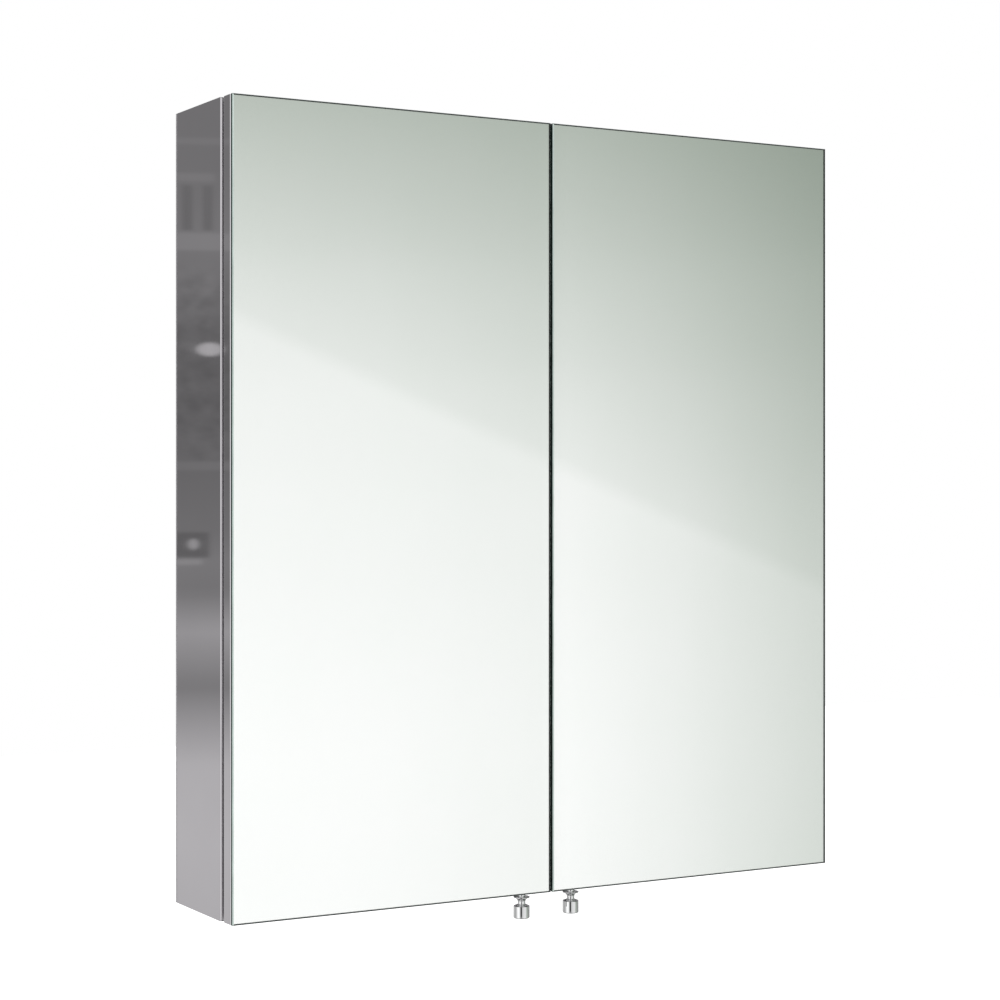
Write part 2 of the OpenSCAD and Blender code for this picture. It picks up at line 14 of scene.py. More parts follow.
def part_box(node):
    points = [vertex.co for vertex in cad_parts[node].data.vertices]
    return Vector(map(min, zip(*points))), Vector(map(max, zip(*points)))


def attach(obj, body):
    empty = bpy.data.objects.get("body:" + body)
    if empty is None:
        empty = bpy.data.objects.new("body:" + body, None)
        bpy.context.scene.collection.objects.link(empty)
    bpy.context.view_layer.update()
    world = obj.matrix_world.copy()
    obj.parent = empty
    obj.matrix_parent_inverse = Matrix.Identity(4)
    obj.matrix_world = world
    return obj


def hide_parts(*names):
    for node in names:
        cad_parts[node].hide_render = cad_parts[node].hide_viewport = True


MM = 0.001

# Corners closer than this are one corner: the CAD meshes come with split corners
WELD = 0.001 * MM

# Edges of pressed and moulded parts that turn by more degrees than this are eased
EASED_ANGLE = 35

# Refractive index of the mirror glass
GLASS_IOR = 1.52

# Brightness of the panel that the doors reflect, which makes up for what the glass takes
PANEL_BRIGHTNESS = 1.065

# Height of the studio floor
FLOOR_LEVEL = -0.95

# Sockets of the Mix node when it mixes colours
MIX_FACTOR, MIX_FIRST, MIX_SECOND, MIX_RESULT = 0, 6, 7, 2

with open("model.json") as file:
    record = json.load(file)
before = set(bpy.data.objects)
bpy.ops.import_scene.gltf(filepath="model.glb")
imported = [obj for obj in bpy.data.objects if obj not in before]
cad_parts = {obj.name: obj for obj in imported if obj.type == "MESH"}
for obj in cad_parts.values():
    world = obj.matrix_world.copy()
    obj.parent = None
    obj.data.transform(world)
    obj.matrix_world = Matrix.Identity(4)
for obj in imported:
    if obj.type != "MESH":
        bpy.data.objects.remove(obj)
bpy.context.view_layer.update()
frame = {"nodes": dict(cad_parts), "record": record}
nodes = frame["nodes"]


# ---------------------------------------------------------------- shader helpers


def grey(level):
    """A plain grey for the mixes."""
    return level, level, level, 1


class Shader:
    """A node tree with short calls for the nodes that the materials here use."""

    def __init__(self, tree):
        self.tree = tree
        self.nodes = tree.nodes
        self.nodes.clear()

    def add(self, kind, **settings):
        made = self.nodes.new(kind)
        for key, value in settings.items():
            setattr(made, key, value)
        return made

    def feed(self, socket, value):
        """Links a socket to an input, or sets the input to a plain value."""
        if isinstance(value, bpy.types.NodeSocket):
            self.tree.links.new(value, socket)
        else:
            socket.default_value = value

    def math(self, operation, first, second=None, clamp=False):
        made = self.add("ShaderNodeMath", operation=operation, use_clamp=clamp)
        self.feed(made.inputs[0], first)
        if second is not None:
            self.feed(made.inputs[1], second)
        return made.outputs[0]

    def remap(self, value, low, high, to_low=0.0, to_high=1.0, smooth=False):
        kind = "SMOOTHSTEP" if smooth else "LINEAR"
        made = self.add("ShaderNodeMapRange", interpolation_type=kind)
        for socket, number in zip(made.inputs[:5], (value, low, high, to_low, to_high)):
            self.feed(socket, number)
        return made.outputs[0]

    def band(self, value, low, high, soft):
        """1 between two values and 0 outside them, with soft sides."""
        rise = self.remap(value, low - soft, low + soft, smooth=True)
        fall = self.remap(value, high - soft, high + soft, 1.0, 0.0, smooth=True)
        return self.multiply(rise, fall)

    def ramp(self, value, stops, kind="LINEAR"):
        """A level that follows a few stops of (value, level)."""
        first, last = stops[0][0], stops[-1][0]
        made = self.add("ShaderNodeValToRGB")
        made.color_ramp.interpolation = kind
        elements = made.color_ramp.elements
        for k, (at, level) in enumerate(stops):
            place = (at - first) / (last - first)
            stop = elements[k] if k < 2 else elements.new(place)
            stop.position = place
            stop.color = grey(level)
        self.feed(made.inputs[0], self.remap(value, first, last))
        return made.outputs[0]

    def mix(self, factor, first, second, blend="MIX"):
        """Mixes two colours, or levels."""
        made = self.add("ShaderNodeMix", data_type="RGBA", blend_type=blend)
        self.feed(made.inputs[MIX_FACTOR], factor)
        self.feed(made.inputs[MIX_FIRST], first)
        self.feed(made.inputs[MIX_SECOND], second)
        return made.outputs[MIX_RESULT]

    def multiply(self, first, second):
        return self.math("MULTIPLY", first, second)

    def place(self, stretch=(1, 1, 1)):
        """Object coordinates in metres, scaled so that a pattern can run along one direction."""
        coords = self.add("ShaderNodeTexCoord")
        mapping = self.add("ShaderNodeMapping")
        mapping.inputs["Scale"].default_value = stretch
        self.feed(mapping.inputs[0], coords.outputs["Object"])
        return mapping.outputs[0]

    def noise(self, where, scale, detail=2.0, rough=0.5):
        made = self.add("ShaderNodeTexNoise")
        made.inputs["Scale"].default_value = scale
        made.inputs["Detail"].default_value = detail
        made.inputs["Roughness"].default_value = rough
        self.feed(made.inputs["Vector"], where)
        return made.outputs["Fac"]

    def cells(self, where, scale):
        made = self.add("ShaderNodeTexVoronoi", feature="F1")
        made.inputs["Scale"].default_value = scale
        self.feed(made.inputs["Vector"], where)
        return made.outputs["Distance"]

    def bump(self, height, strength, distance, under=None):
        made = self.add("ShaderNodeBump")
        made.inputs["Strength"].default_value = strength
        made.inputs["Distance"].default_value = distance
        self.feed(made.inputs["Height"], height)
        if under is not None:
            self.feed(made.inputs["Normal"], under)
        return made.outputs[0]


def new_material(name):
    """A material with an empty tree, its Principled shader and its output joined up."""
    made = bpy.data.materials.new(name)
    made.use_nodes = True
    shade = Shader(made.node_tree)
    surface = shade.add("ShaderNodeBsdfPrincipled")
    output = shade.add("ShaderNodeOutputMaterial")
    shade.feed(output.inputs[0], surface.outputs[0])
    return made, shade, surface


def mottle(shade, surface, pattern, dark, light, low=0.3, high=0.7):
    """Varies the base colour between two tones, as a pattern goes from low to high."""
    tone = shade.mix(shade.remap(pattern, low, high), (*dark, 1), (*light, 1))
    shade.feed(surface.inputs["Base Color"], tone)


def brushed_metal(name, tone, dark_tone, rough, grain, grain_rough, stretch, smudge=0.03, lift=0.12,
                  face_rough=0.0):
    """Metal with a directional grain, faint cloudy haze and finer scratches.

    rough is the mean roughness, and grain_rough and smudge are how much the brush lines and the
    clouds change it. grain is the height of the lines in the bump (m), lift the bump's strength, and
    stretch runs the lines along its smallest direction. face_rough is added on the faces that look
    forward or back, which get no final polish.
    """
    made, shade, surface = new_material(name)
    lines = shade.noise(shade.place(stretch), 1.0, 4.0, 0.65)
    fine = shade.noise(shade.place(tuple(3.1 * s for s in stretch)), 1.0, 2.0, 0.5)
    haze = shade.noise(shade.place(), 7.0, 3.0, 0.55)
    cloud = shade.noise(shade.place(), 2.2, 1.0, 0.5)

    surface.inputs["Metallic"].default_value = 1.0
    mottle(shade, surface, haze, dark_tone, tone)

    streak = shade.remap(lines, 0.3, 0.7, rough - grain_rough, rough + grain_rough)
    wiped = shade.remap(cloud, 0.35, 0.65, -smudge, smudge, smooth=True)
    varied = shade.math("ADD", streak, wiped, clamp=True)
    if face_rough:
        facing = shade.add("ShaderNodeSeparateXYZ")
        shade.feed(facing.inputs[0], shade.add("ShaderNodeTexCoord").outputs["Normal"])
        frontal = shade.remap(shade.math("ABSOLUTE", facing.outputs[1]), 0.9, 0.99, 0.0, face_rough)
        varied = shade.math("ADD", varied, frontal, clamp=True)
    shade.feed(surface.inputs["Roughness"], varied)

    relief = shade.bump(lines, lift, grain)
    shade.feed(surface.inputs["Normal"], shade.bump(fine, lift * 0.6, grain * 0.5, relief))
    return made


def polished_steel():
    """Bright polished stainless of the body and the door trays, its faint grain running upward."""
    return brushed_metal("polished_steel", (0.64, 0.618, 0.645), (0.61, 0.588, 0.615), rough=0.030,
                         grain=0.01 * MM, grain_rough=0.008, stretch=(700, 700, 5),
                         smudge=0.006, lift=0.02, face_rough=0.5)


def satin_steel():
    """Inside of the cabinet: satin stainless, brushed along its width."""
    return brushed_metal("satin_steel", (0.70, 0.70, 0.705), (0.64, 0.64, 0.65), rough=0.30,
                         grain=0.03 * MM, grain_rough=0.06, stretch=(10, 700, 1100), lift=0.25)


def shelf_steel():
    """Shelves, a little brighter where things slide over them."""
    return brushed_metal("shelf_steel", (0.72, 0.72, 0.725), (0.66, 0.66, 0.67), rough=0.26,
                         grain=0.03 * MM, grain_rough=0.06, stretch=(8, 1000, 800),
                         smudge=0.05, lift=0.25)


def nickel():
    """Nickel-plated hinge parts and shelf pins."""
    return brushed_metal("nickel", (0.70, 0.68, 0.64), (0.62, 0.60, 0.56), rough=0.22,
                         grain=0.02 * MM, grain_rough=0.05, stretch=(500, 160, 500), lift=0.15)


def zinc():
    """Zinc-plated steel: mottled, and slightly warm in places."""
    made, shade, surface = new_material("zinc_plate")
    spangle = shade.cells(shade.place(), 160.0)
    cloud = shade.noise(shade.place(), 60.0, 4.0, 0.6)
    surface.inputs["Metallic"].default_value = 1.0
    mottle(shade, surface, cloud, (0.60, 0.62, 0.66), (0.72, 0.71, 0.67), 0.35, 0.65)
    shade.feed(surface.inputs["Roughness"], shade.remap(spangle, 0.0, 0.7, 0.24, 0.42))
    shade.feed(surface.inputs["Normal"], shade.bump(cloud, 0.2, 0.03 * MM))
    return made


def chrome():
    """Bright chrome of the knobs, with the faintest handling haze."""
    made, shade, surface = new_material("chrome")
    haze = shade.noise(shade.place(), 120.0, 3.0, 0.6)
    turned = shade.noise(shade.place((6, 6, 2600)), 1.0, 2.0, 0.5)
    surface.inputs["Metallic"].default_value = 1.0
    mottle(shade, surface, haze, (0.68, 0.685, 0.69), (0.74, 0.742, 0.745))
    shade.feed(surface.inputs["Roughness"], shade.remap(haze, 0.3, 0.7, 0.015, 0.045))
    shade.feed(surface.inputs["Normal"], shade.bump(turned, 0.04, 0.01 * MM))
    return made


def silver():
    """Silvering on the back of the mirror glass, with the faintest cloudiness."""
    made, shade, surface = new_material("silver")
    cloud = shade.noise(shade.place((3, 1, 1.2)), 3.0, 3.0, 0.6)
    surface.inputs["Metallic"].default_value = 1.0
    mottle(shade, surface, cloud, (0.925, 0.935, 0.925), (0.94, 0.945, 0.94))
    shade.feed(surface.inputs["Roughness"], shade.remap(cloud, 0.35, 0.7, 0.003, 0.010))
    return made


def float_glass():
    """Clear float glass in front of the silvering, with a wiped film that barely shows."""
    made, shade, surface = new_material("float_glass")
    film = shade.noise(shade.place((2, 1, 5)), 4.0, 3.0, 0.6)
    mottle(shade, surface, film, (0.985, 0.996, 0.988), (0.992, 0.998, 0.994))
    shade.feed(surface.inputs["Roughness"], shade.remap(film, 0.45, 0.75, 0.0, 0.008))
    surface.inputs["Transmission Weight"].default_value = 1.0
    surface.inputs["IOR"].default_value = GLASS_IOR
    return made


def glass_edge(name, tone, rough, metallic):
    """Ground edge of float glass: green, with faint grinding lines.

    The arris sparkles, which the metallic share stands in for.
    """
    made, shade, surface = new_material(name)
    lines = shade.noise(shade.place((900, 3000, 900)), 1.0, 2.0, 0.5)
    patch = shade.noise(shade.place(), 40.0, 2.0, 0.5)
    dark = tuple(0.8 * c for c in tone)
    mottle(shade, surface, patch, dark, tone)
    shade.feed(surface.inputs["Roughness"], shade.remap(lines, 0.3, 0.7, rough * 0.6, rough * 1.4))
    surface.inputs["Metallic"].default_value = metallic
    surface.inputs["IOR"].default_value = GLASS_IOR
    shade.feed(surface.inputs["Normal"], shade.bump(lines, 0.05, 0.01 * MM))
    return made


def backing_paint():
    """Grey protective paint on the back of the mirror."""
    made, shade, surface = new_material("backing_paint")
    orange_peel = shade.noise(shade.place(), 900.0, 2.0, 0.5)
    cloud = shade.noise(shade.place(), 12.0, 2.0, 0.5)
    mottle(shade, surface, cloud, (0.17, 0.19, 0.19), (0.22, 0.24, 0.24))
    shade.feed(surface.inputs["Roughness"], shade.remap(orange_peel, 0.3, 0.7, 0.45, 0.62))
    shade.feed(surface.inputs["Normal"], shade.bump(orange_peel, 0.25, 0.05 * MM))
    return made


def foam_tape():
    """Black closed-cell foam of the mirror tape."""
    made, shade, surface = new_material("foam_tape")
    pores = shade.cells(shade.place(), 2200.0)
    mottle(shade, surface, pores, (0.010, 0.010, 0.011), (0.035, 0.035, 0.037), 0.0, 0.6)
    shade.feed(surface.inputs["Roughness"], shade.remap(pores, 0.0, 0.6, 0.95, 0.75))
    shade.feed(surface.inputs["Normal"], shade.bump(pores, 0.5, 0.15 * MM))
    return made


def white_plastic():
    """Moulded housing of the catch, finely eroded."""
    made, shade, surface = new_material("white_plastic")
    grain = shade.noise(shade.place(), 1800.0, 2.0, 0.6)
    cloud = shade.noise(shade.place(), 30.0, 2.0, 0.5)
    mottle(shade, surface, cloud, (0.74, 0.74, 0.71), (0.82, 0.82, 0.80))
    shade.feed(surface.inputs["Roughness"], shade.remap(grain, 0.3, 0.7, 0.38, 0.55))
    surface.inputs["Subsurface Weight"].default_value = 0.05
    surface.inputs["Subsurface Scale"].default_value = 2 * MM
    shade.feed(surface.inputs["Normal"], shade.bump(grain, 0.2, 0.04 * MM))
    return made


def ferrite():
    """Dark sintered magnet."""
    made, shade, surface = new_material("ferrite")
    grit = shade.noise(shade.place(), 1500.0, 4.0, 0.7)
    mottle(shade, surface, grit, (0.025, 0.025, 0.027), (0.07, 0.07, 0.072))
    shade.feed(surface.inputs["Roughness"], shade.remap(grit, 0.3, 0.7, 0.5, 0.75))
    shade.feed(surface.inputs["Normal"], shade.bump(grit, 0.3, 0.05 * MM))
    return made


def clear_rubber():
    """Soft translucent bumpers."""
    made, shade, surface = new_material("clear_rubber")
    dust = shade.noise(shade.place(), 700.0, 3.0, 0.6)
    mottle(shade, surface, dust, (0.80, 0.83, 0.82), (0.90, 0.92, 0.91))
    shade.feed(surface.inputs["Roughness"], shade.remap(dust, 0.3, 0.7, 0.18, 0.34))
    surface.inputs["Transmission Weight"].default_value = 0.55
    surface.inputs["IOR"].default_value = 1.45
    return made


MATERIALS = {
    "polished_steel": polished_steel(),
    "satin_steel": satin_steel(),
    "shelf_steel": shelf_steel(),
    "nickel": nickel(),
    "zinc": zinc(),
    "chrome": chrome(),
    "silver": silver(),
    "float_glass": float_glass(),
    "glass_arris": glass_edge("glass_arris", (0.46, 0.53, 0.50), 0.12, 0.9),
    "glass_edge": glass_edge("glass_edge", (0.022, 0.045, 0.036), 0.10, 0.0),
    "backing_paint": backing_paint(),
    "foam_tape": foam_tape(),
    "white_plastic": white_plastic(),
    "ferrite": ferrite(),
    "clear_rubber": clear_rubber(),
}

SLOT_LOOKS = {
    "polished_steel": "polished_steel", "satin_steel": "satin_steel", "mirror_glass": "silver",
    "foam_tape": "foam_tape", "chrome_knob": "chrome", "white_plastic": "white_plastic",
    "ferrite": "ferrite", "clear_rubber": "clear_rubber", "nickel_steel": "nickel",
    "zinc_steel": "zinc",
}


def dress_cad_nodes():
    """Gives every carried-over CAD node the material of its slot."""
    for entry in frame["record"]["subparts"]:
        look = SLOT_LOOKS[entry["material_slot"]]
        if entry["node"].endswith("_shelf"):
            look = "shelf_steel"
        piece = nodes[entry["node"]]
        piece.data.materials.clear()
        piece.data.materials.append(MATERIALS[look])


# ---------------------------------------------------------------- mesh helpers


def new_piece(name, mesh, looks, body, node):
    """Links a finished mesh into the scene as a piece of the object, in place of a CAD node."""
    built = bpy.data.meshes.new(name)
    mesh.to_mesh(built)
    mesh.free()
    for look in looks:
        built.materials.append(MATERIALS[look])
    piece = bpy.data.objects.new(name, built)
    bpy.context.scene.collection.objects.link(piece)
    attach(piece, body)
    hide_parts(node)


def smooth_by_angle(mesh, degrees):
    """Shades a mesh smooth, and keeps edges sharper than the angle crisp."""
    limit = math.radians(degrees)
    for face in mesh.faces:
        face.smooth = True
    for edge in mesh.edges:
        edge.smooth = not (len(edge.link_faces) == 2 and edge.calc_face_angle(0.0) > limit)


def spin(mesh, profile, steps, where):
    """Turns a profile of (radius, height) points about the local Z axis, placed by a matrix."""
    rings = []
    for radius, height in profile:
        if radius < WELD:
            rings.append([mesh.verts.new(where @ Vector((0, 0, height)))])
            continue
        ring = []
        for step in range(steps):
            angle = 2 * math.pi * step / steps
            ring.append(mesh.verts.new(
                where @ Vector((radius * math.cos(angle), radius * math.sin(angle), height))))
        rings.append(ring)
    for lower, upper in zip(rings, rings[1:]):
        for step in range(steps):
            after = (step + 1) % steps
            corners = [lower[step % len(lower)], lower[after % len(lower)],
                       upper[after % len(upper)], upper[step % len(upper)]]
            unique = list(dict.fromkeys(corners))
            if len(unique) > 2:
                mesh.faces.new(unique)


def arc(centre, radius, start, end, count):
    """Points of an arc in a profile, between two angles in degrees."""
    points = []
    for step in range(count + 1):
        angle = math.radians(start + (end - start) * step / count)
        points.append((centre[0] + radius * math.cos(angle), centre[1] + radius * math.sin(angle)))
    return points


def dome(radius, low, high):
    """Profile points of a half ellipse that rises from its rim to its top on the axis."""
    points = []
    for degrees in range(15, 90, 15):
        angle = math.radians(degrees)
        points.append((radius * math.cos(angle), low + (high - low) * math.sin(angle)))
    return points + [(0.0, high)]


def welded(node):
    """The closed mesh of a CAD node."""
    mesh = bmesh.new()
    mesh.from_mesh(nodes[node].data)
    bmesh.ops.remove_doubles(mesh, verts=mesh.verts, dist=WELD)
    return mesh


def softened(node, width):
    """The node's own shape with its sharp edges eased."""
    mesh = welded(node)
    bmesh.ops.dissolve_limit(mesh, angle_limit=math.radians(1), verts=mesh.verts, edges=mesh.edges)
    limit = math.radians(EASED_ANGLE)
    sharp = [edge for edge in mesh.edges if edge.calc_face_angle(0.0) > limit]
    bmesh.ops.bevel(mesh, geom=sharp, offset=width, segments=2, profile=0.5, affect="EDGES",
                    clamp_overlap=True)
    smooth_by_angle(mesh, EASED_ANGLE)
    return mesh


def islands(node):
    """The lowest and highest corners of every separate solid in a CAD node."""
    mesh = welded(node)
    waiting = set(mesh.verts)
    found = []
    while waiting:
        open_ends = [waiting.pop()]
        low, high = open_ends[0].co.copy(), open_ends[0].co.copy()
        while open_ends:
            vertex = open_ends.pop()
            low = Vector(map(min, low, vertex.co))
            high = Vector(map(max, high, vertex.co))
            for edge in vertex.link_edges:
                other = edge.other_vert(vertex)
                if other in waiting:
                    waiting.remove(other)
                    open_ends.append(other)
        found.append((low, high))
    mesh.free()
    return sorted(found, key=lambda box: tuple(round(c, 5) for c in box[0]))


# ---------------------------------------------------------------- mirrors


def slab(mesh, rings, looks, ends):
    """A closed block from rectangles of (low x, low z, high x, high z, depth), rear to front.

    looks are the material numbers of the bands between them, and ends those of the two end faces.
    """
    loops = []
    for x0, z0, x1, z1, depth in rings:
        corners = [(x0, z0), (x1, z0), (x1, z1), (x0, z1)]
        loops.append([mesh.verts.new((x, depth, z)) for x, z in corners])
    for rear, front, look in zip(loops, loops[1:], looks):
        for k in range(4):
            after = (k + 1) % 4
            mesh.faces.new((rear[k], rear[after], front[after], front[k])).material_index = look
    mesh.faces.new(loops[0]).material_index = ends[0]
    mesh.faces.new(loops[-1]).material_index = ends[1]


def make_mirror(side):
    """Float glass with ground edges, silvered and painted behind.

    The front is real glass, so the green of the arris shows beside it as it does on a mirror. The
    silvering lies close behind the front, so the dark of the far edge barely shows through.
    """
    node = f"{side}_mirror"
    low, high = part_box(node)
    front, rear = low[1], high[1]
    front_arris, rear_arris = 0.9 * MM, 0.3 * MM
    silvered = front + 2.2 * MM
    painted = silvered + 0.01 * MM
    order = ["silver", "glass_edge", "glass_arris", "float_glass", "backing_paint"]
    silver, edge, arris, glass, paint = range(len(order))

    def ring(inset, depth):
        return low[0] + inset, low[2] + inset, high[0] - inset, high[2] - inset, depth

    mesh = bmesh.new()
    pane = [ring(0.0, silvered), ring(0.0, front + front_arris), ring(front_arris, front)]
    slab(mesh, pane, [edge, arris], (silver, glass))
    backing = [ring(rear_arris, rear), ring(0.0, rear - rear_arris), ring(0.0, painted)]
    slab(mesh, backing, [edge, edge], (paint, paint))
    bmesh.ops.recalc_face_normals(mesh, faces=mesh.faces)
    new_piece(f"{side}_mirror_glass", mesh, order, f"{side}_door", node)


# ---------------------------------------------------------------- knobs


def make_knob(side):
    """Turned knob: a neck, a rim that flares out of the waist, and a drum with eased edges."""
    node = f"{side}_knob"
    low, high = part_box(node)
    centre = [(a + b) / 2 for a, b in zip(low, high)]
    radius = (high[0] - low[0]) / 2
    length = high[2] - low[2]
    neck, neck_h = 3.2 * MM, 2.9 * MM
    rim_low = 3.9 * MM
    waist = 3.4 * MM
    shoulder, slope = 9.5 * MM, 1.5 * MM
    ease, bottom_ease = 0.35 * MM, 0.8 * MM
    flare = radius - waist
    drum = shoulder + slope

    profile = [(0.0, 0.0), (neck, 0.0), (neck, -neck_h), (radius - ease, -neck_h)]
    # The rim, and the hollow that flares out of the waist up to it
    profile += arc((radius - ease, -neck_h - ease), ease, 90, 0, 4)
    profile += arc((radius - ease, -rim_low + ease), ease, 0, -80, 4)
    profile += arc((radius, -rim_low - flare), flare, 98, 180, 16)
    # The foot of the waist, the sloping shoulder and the drum
    profile += [(waist, -shoulder + ease)]
    profile += arc((waist + ease, -shoulder + ease), ease, 200, 252, 3)
    profile += [(radius - 1.6 * ease, -drum + 1.2 * ease)]
    profile += arc((radius - ease, -drum - 0.6 * ease), ease, 60, 0, 4)
    profile += arc((radius - bottom_ease, -length + bottom_ease), bottom_ease, 0, -90, 8)
    profile += [(0.0, -length)]
    mesh = bmesh.new()
    spin(mesh, profile, 96, Matrix.Translation((centre[0], centre[1], high[2])))
    bmesh.ops.recalc_face_normals(mesh, faces=mesh.faces)
    smooth_by_angle(mesh, 32)
    new_piece(f"{side}_turned_knob", mesh, ["chrome"], f"{side}_door", node)


# ---------------------------------------------------------------- screws


def cross_head(radius, height):
    """A pan head with a cross recess, standing on the origin and facing up the local Z axis."""
    rim = 0.42 * height
    recess_mid = 0.95 * height
    mesh = bmesh.new()
    profile = [(0.0, 0.0), (radius, 0.0), (radius, rim)] + dome(radius, rim, height)
    spin(mesh, profile, 40, Matrix.Identity(4))
    bmesh.ops.recalc_face_normals(mesh, faces=mesh.faces)
    head = bpy.data.meshes.new("cross_head")
    mesh.to_mesh(head)
    mesh.free()
    cutter = bmesh.new()
    for turn in (0, 90):
        where = Matrix.Translation((0, 0, recess_mid)) @ Matrix.Rotation(math.radians(turn), 4, "Z")
        size = Matrix.Diagonal((1.25 * radius, 0.24 * radius, 1.1 * height, 1))
        bar = bmesh.ops.create_cube(cutter, size=1.0, matrix=where @ size)
        foot = [v for v in bar["verts"] if v.co.z < recess_mid]
        bmesh.ops.scale(cutter, vec=(0.45, 0.45, 1), verts=foot)
    cross = bpy.data.meshes.new("cross_recess")
    cutter.to_mesh(cross)
    cutter.free()
    return cut(head, cross)


def cut(solid, tool):
    """Subtracts one mesh from another and returns what is left."""
    scene = bpy.context.scene
    kept = bpy.data.objects.new("cut_solid", solid)
    taken = bpy.data.objects.new("cut_tool", tool)
    scene.collection.objects.link(kept)
    scene.collection.objects.link(taken)
    step = kept.modifiers.new("cut", "BOOLEAN")
    step.operation = "DIFFERENCE"
    step.solver = "EXACT"
    step.use_self = True
    step.object = taken
    evaluated = kept.evaluated_get(bpy.context.evaluated_depsgraph_get())
    result = bpy.data.meshes.new_from_object(evaluated)
    bpy.data.objects.remove(kept)
    bpy.data.objects.remove(taken)
    return result


def make_screws(node, body, facing, head_h, shank_r):
    """Replaces every screw of a node by one with a recessed pan head.

    facing is the axis direction in which all the heads of the node look.
    """
    facing = Vector(facing)
    along = max(range(3), key=lambda axis: abs(facing[axis]))
    turn = facing.to_track_quat("Z", "Y").to_matrix().to_4x4()
    mesh = bmesh.new()
    heads = {}
    for low, high in islands(node):
        middle = (low + high) / 2
        across = [high[axis] - low[axis] for axis in range(3) if axis != along]
        radius = max(across) / 2
        length = high[along] - low[along]
        top = Vector(middle)
        top[along] = high[along] if facing[along] > 0 else low[along]
        key = round(radius / MM, 2)
        if key not in heads:
            heads[key] = cross_head(radius, head_h)
        where = Matrix.Translation(top - facing * head_h) @ turn
        start = len(mesh.verts)
        mesh.from_mesh(heads[key])
        mesh.verts.ensure_lookup_table()
        bmesh.ops.transform(mesh, matrix=where, verts=mesh.verts[start:])
        tip = length - head_h
        shank = [(0.0, 0.0), (shank_r, 0.0), (shank_r, -tip + shank_r),
                 (0.3 * shank_r, -tip), (0.0, -tip)]
        spin(mesh, shank, 24, where)
    bmesh.ops.recalc_face_normals(mesh, faces=mesh.faces)
    smooth_by_angle(mesh, 40)
    new_piece(f"{node}_recessed", mesh, [SLOT_LOOKS["zinc_steel"]], body, node)


# ---------------------------------------------------------------- bumpers


def make_bumpers(side):
    """Soft bumpers with domed faces, stuck behind the door."""
    node = f"{side}_bumpers"
    mesh = bmesh.new()
    for low, high in islands(node):
        middle = (low + high) / 2
        radius = (high[0] - low[0]) / 2
        height = high[1] - low[1]
        body = 0.96 * radius
        body_h = 0.45 * height
        profile = [(0.0, 0.0), (radius, 0.0), (radius, 0.1 * height), (body, body_h)]
        profile += dome(body, body_h, height)
        rearward = Matrix.Rotation(math.radians(-90), 4, "X")
        spin(mesh, profile, 40, Matrix.Translation((middle[0], low[1], middle[2])) @ rearward)
    bmesh.ops.recalc_face_normals(mesh, faces=mesh.faces)
    smooth_by_angle(mesh, 50)
    new_piece(f"{side}_domed_bumpers", mesh, ["clear_rubber"], f"{side}_door", node)


# ---------------------------------------------------------------- pressed and moulded parts


def soften_node(node, body, slot, width):
    """Replaces a node by its own shape with eased edges, in the look of its slot."""
    new_piece(f"{node}_eased", softened(node, width), [SLOT_LOOKS[slot]], body, node)


# ---------------------------------------------------------------- studio


def studio_panel(shade, heading, height):
    """What the doors reflect: a pale panel that fades upward and to the right, and turns greener."""
    upward = shade.ramp(height, [
        (-14, 1.0), (-7, 1.0), (-3, 0.965), (0, 0.93), (3, 0.884), (6, 0.806), (10, 0.661),
        (16, 0.52),
    ], "CARDINAL")
    sideways = shade.ramp(heading, [
        (12, 1.0), (23, 1.0), (27, 0.98), (31, 0.925), (31.6, 0.98), (34.5, 0.88), (38, 0.72),
        (46, 0.62), (70, 0.5),
    ])
    # The upper right is darker beyond a line that slopes down to the right
    slant = shade.math("ADD", height, shade.multiply(heading, 0.46))
    beyond = shade.ramp(slant, [
        (10, 1.0), (14.75, 1.0), (15.25, 0.93), (20, 0.81), (25, 0.70), (34, 0.54),
    ])
    level = shade.multiply(shade.multiply(upward, sideways), beyond)
    # Red and blue fall off a little faster than green
    tinted = shade.add("ShaderNodeCombineColor")
    shade.feed(tinted.inputs[0], shade.math("POWER", level, 1.12))
    shade.feed(tinted.inputs[1], level)
    shade.feed(tinted.inputs[2], shade.math("POWER", level, 1.13))
    return shade.mix(1.0, tinted.outputs[0], grey(PANEL_BRIGHTNESS), "MULTIPLY")


